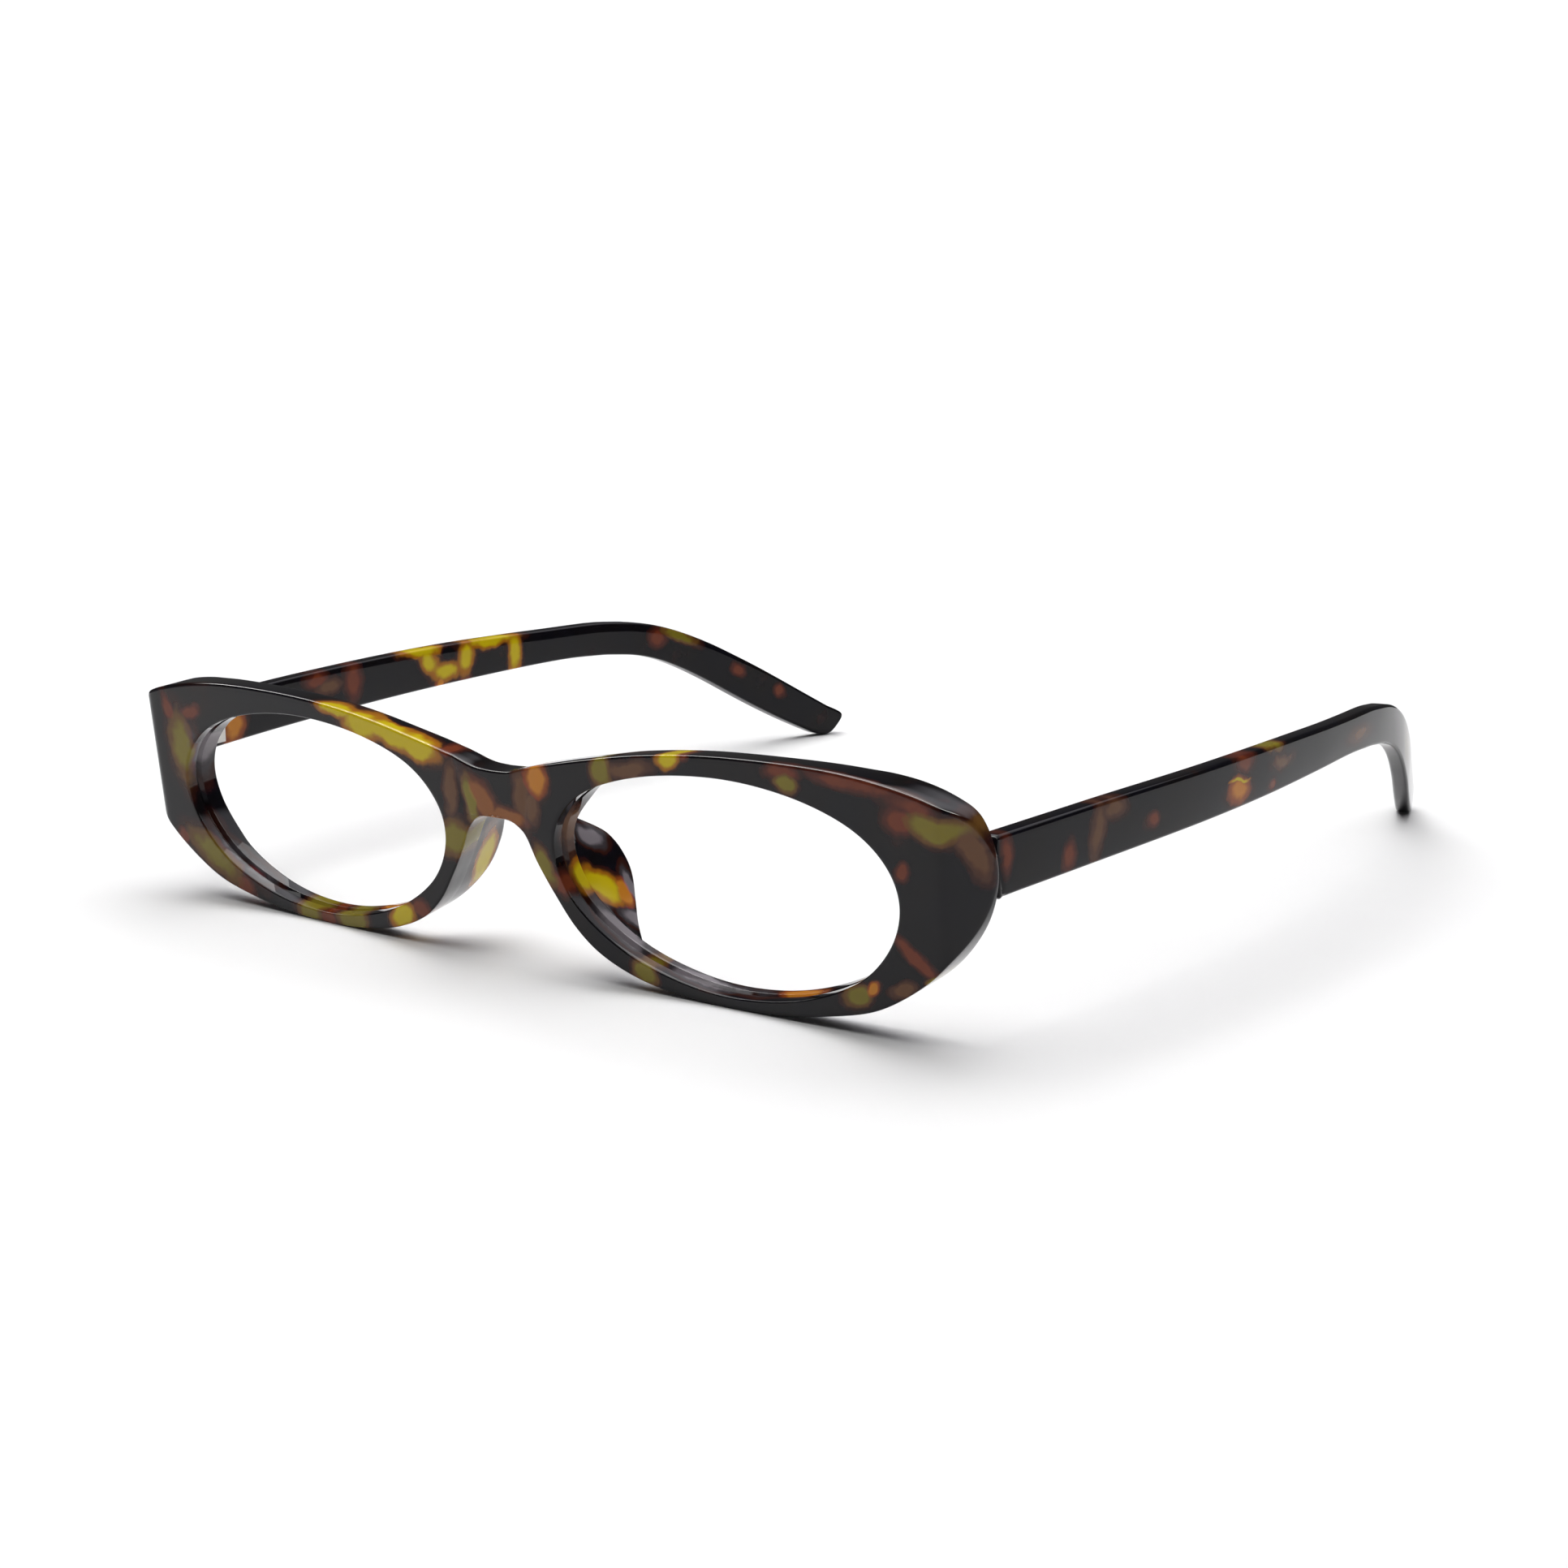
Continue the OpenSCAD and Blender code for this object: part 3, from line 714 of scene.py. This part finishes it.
# The grey-lilac patches in the right pad are painted glow of light through the acetate.
RIGHT_PAD_PATCHES = [side_patch(*row) for row in [
    (MID_Y + 8.0, 10.6, 3.6, 1.8, -35, "yellow"), (MID_Y + 10.8, 9.3, 1.3, 1.7, -35, "orange"),
    (MID_Y + 9.0, 16.2, 2.8, 1.4, -25, "painted_light"), (MID_Y + 12.4, 10.2, 1.0, 2.2, 0, "painted_light"),
    (MID_Y + 10.2, 6.4, 2.6, 1.3, -35, "painted_light"),
]]
LEFT_TEMPLE_PATCHES = [side_patch(MID_Y + row[0], *row[1:]) for row in [
    (19.2, 20.4, 2.6, 3.4, 0, "orange"), (39.6, 22.6, 3.4, 1.4, 0, "brown"),
    (44.8, 22.8, 2.0, 3.4, 0, "red"), (37.0, 23.8, 3.0, 1.2, 0, "red"),
    (60.5, 25.0, 5.6, 1.2, -4, "yellow"), (61.8, 23.2, 3.0, 2.1, -40, "yellow"),
    (65.4, 21.3, 3.6, 1.8, 0, "yellow"), (70.2, 22.8, 2.2, 3.0, -25, "yellow"),
    (76.0, 24.9, 7.0, 1.3, 0, "yellow"), (81.2, 22.4, 2.0, 4.0, 8, "yellow"),
    (64.2, 19.8, 1.4, 0.9, 0, "orange"), (70.0, 20.0, 1.7, 0.9, 0, "red"),
    (66.1, 24.2, 2.0, 1.2, 0, "dark"), (75.2, 21.0, 3.4, 2.4, 0, "dark"),
    (113.8, 21.2, 1.9, 2.0, 0, "red"), (118.5, 20.6, 4.6, 1.1, -25, "olive"),
    (131.0, 13.6, 1.6, 1.0, -35, "red"), (139.0, 9.2, 1.5, 1.0, -30, "red"),
]]
RIGHT_TEMPLE_PATCHES = [side_patch(MID_Y + row[0], *row[1:]) for row in [
    (9.3, 22.0, 1.2, 2.4, 0, "red"), (25.8, 21.6, 1.4, 3.8, -8, "brown"),
    (28.8, 23.6, 2.8, 1.4, 0, "brown"), (20.5, 20.0, 1.3, 1.8, 0, "red"),
    (37.0, 21.0, 1.6, 1.1, 0, "red"), (57.0, 21.1, 3.2, 2.0, 0, "orange"),
    # The thin yellow line at (57.0, 22.4) is a painted glint of the core wire, which the opaque arm
    # hides.
    (58.4, 24.6, 2.3, 1.5, 0, "red"), (57.0, 22.4, 3.0, 0.35, -3, "yellow"),
    (66.5, 25.4, 3.0, 1.1, -10, "olive"), (68.6, 23.0, 3.4, 0.9, 0, "brown"),
    (66.0, 20.4, 1.4, 1.0, 0, "red"), (96.0, 22.0, 5.0, 1.2, 0, "brown"),
    (126.0, 15.0, 4.0, 1.4, -40, "olive"), (142.0, 7.0, 3.0, 1.2, -35, "brown"),
]]

# ---- Build -----------------------------------------------------------------------

acetate = tortoise("acetate_front", FRONT_PATCHES, 1, (0, FACE_Y, 0), LEAN)
front = build_front(acetate)
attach(front, "front")
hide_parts("front_frame")

for side, name, pad_patches, arm_patches in (
        (-1, "left", LEFT_PAD_PATCHES, LEFT_TEMPLE_PATCHES),
        (1, "right", RIGHT_PAD_PATCHES, RIGHT_TEMPLE_PATCHES)):
    pad = build_pad(side, tortoise(name + "_acetate_pad", pad_patches, 0))
    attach(pad, "front")
    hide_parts(name + "_nose_pad")
    arm = build_temple(side, tortoise(name + "_acetate_temple", arm_patches, 0, gloss=0.18))
    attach(arm, name + "_arm")
    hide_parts(name + "_temple")

# The CAD's own leaves, cores and screws show, each with a metal by the last word of its name.
METALS = {
    "leaf": metal("nickel_silver", (0.62, 0.60, 0.57), 0.22, (1, 1, 6)),
    "core": metal("drawn_wire", (0.60, 0.60, 0.62), 0.25, (6, 0.5, 6)),
    "screw": metal("turned_steel", (0.66, 0.66, 0.68), 0.16, (1, 1, 14))}
for node_name, obj in frame["nodes"].items():
    if not obj.hide_render:
        obj.data.materials.clear()
        obj.data.materials.append(METALS[node_name.split("_")[-1]])

# ---- Stage, light and camera -------------------------------------------------------

FLOOR_R, FLOOR_SIDES = 0.36, 96


def build_floor():
    """Round sheet of white paper under the frame."""
    turns = [2 * math.pi * i / FLOOR_SIDES for i in range(FLOOR_SIDES)]
    rim = [(FLOOR_R * math.cos(t), FLOOR_R * math.sin(t), 0) for t in turns]
    mesh = bpy.data.meshes.new("floor")
    mesh.from_pydata(rim, [], [tuple(range(FLOOR_SIDES))])
    obj = bpy.data.objects.new("floor", mesh)
    bpy.context.scene.collection.objects.link(obj)
    n = Nodes(bpy.data.materials.new("white_paper"))
    grain = n.noise(n.node("ShaderNodeTexCoord").outputs["Object"], 30, 3)
    n.link(n.mix(grain, (0.80, 0.80, 0.80, 1), (0.83, 0.83, 0.825, 1)),
           n.shader.inputs["Base Color"])
    n.shader.inputs["Roughness"].default_value = 0.6
    mesh.materials.append(n.owner)


# Colours of the sky by height, from the horizon at 0 to straight up at 1: on the far side of
# the frame, and on the camera's side.
SKY_TOP, NIGHT, GLOW = grey(0.75), grey(0.012), (0.12, 0.12, 0.135)
SKY_BEHIND = [(0.0, grey(0.03)), (0.50, grey(0.02)), (0.64, (0.60, 0.59, 0.63)), (1.0, SKY_TOP)]
SKY_BEFORE = [(0.0, GLOW), (0.10, GLOW), (0.22, NIGHT), (0.8, NIGHT), (1.0, SKY_TOP)]
STRIP_ACROSS = [(0.24, BLACK), (0.32, WHITE), (0.58, WHITE), (0.66, BLACK)]
STRIP_ABOVE = [(0.5, BLACK), (0.62, WHITE)]
STRIP_LIGHT, BACKDROP = (11.0, 11.0, 10.6), grey(0.5)
SKY_STRENGTH = 2.2


def build_sky():
    """White backdrop for the camera, and a sky for every other ray.

    The sky is dim at the horizon and bright above. Only reflections see its lamp strip.
    """
    world = bpy.data.worlds.new("studio")
    bpy.context.scene.world = world
    n = Nodes(world)
    n.tree.nodes.clear()
    axes = n.node("ShaderNodeSeparateXYZ")
    n.link(n.node("ShaderNodeTexCoord").outputs["Generated"], axes.inputs[0])
    behind = n.ramp(axes.outputs["Z"], SKY_BEHIND)
    before = n.ramp(axes.outputs["Z"], SKY_BEFORE)
    side = n.math("MULTIPLY_ADD", axes.outputs["Y"], 4.0, 0.5, clamp=True)
    lit = n.mix(side, before, behind)
    ray = n.node("ShaderNodeLightPath")
    across = n.ramp(n.math("MULTIPLY_ADD", axes.outputs["Y"], 2.0, 0.5), STRIP_ACROSS)
    above = n.ramp(axes.outputs["Z"], STRIP_ABOVE)
    strip = n.math("MULTIPLY", n.math("MULTIPLY", across, above), ray.outputs["Is Glossy Ray"])
    lit = n.mix(strip, lit, (*STRIP_LIGHT, 1))
    backdrop = n.node("ShaderNodeBackground")
    n.link(n.mix(ray.outputs["Is Camera Ray"], lit, (*BACKDROP, 1)), backdrop.inputs["Color"])
    backdrop.inputs["Strength"].default_value = SKY_STRENGTH
    n.link(backdrop.outputs[0], n.node("ShaderNodeOutputWorld").inputs[0])


def softbox(name, at, size, radiance):
    """Rectangular lamp that faces the frame, as bright at any size."""
    lamp = bpy.data.lights.new(name, "AREA")
    lamp.shape = "RECTANGLE"
    lamp.size, lamp.size_y = size
    lamp.energy = radiance * math.pi * size[0] * size[1]
    obj = bpy.data.objects.new(name, lamp)
    obj.location = at
    obj.rotation_euler = (-mathutils.Vector(at)).to_track_quat("-Z", "Y").to_euler()
    bpy.context.scene.collection.objects.link(obj)


build_floor()
build_sky()
softbox("top_softbox", (-0.5, 0.05, 1.9), (2.6, 1.5), 2.6)

# Place in metres; the angles are how far it looks round, down and rolled, in degrees.
CAMERA_AT = (0.1978, (MID_Y - 216.79) * MM, 0.08428)
CAMERA_ROUND, CAMERA_DOWN, CAMERA_ROLL = 35.51, 11.87, -0.12
camera_data = bpy.data.cameras.new("camera")
camera_data.sensor_width = 36
camera_data.lens = 57.75
camera = bpy.data.objects.new("camera", camera_data)
camera.location = CAMERA_AT
camera.rotation_euler = [math.radians(a) for a in (90 - CAMERA_DOWN, CAMERA_ROLL, CAMERA_ROUND)]
bpy.context.scene.collection.objects.link(camera)
bpy.context.scene.camera = camera

bpy.context.scene.view_settings.view_transform = "Standard"
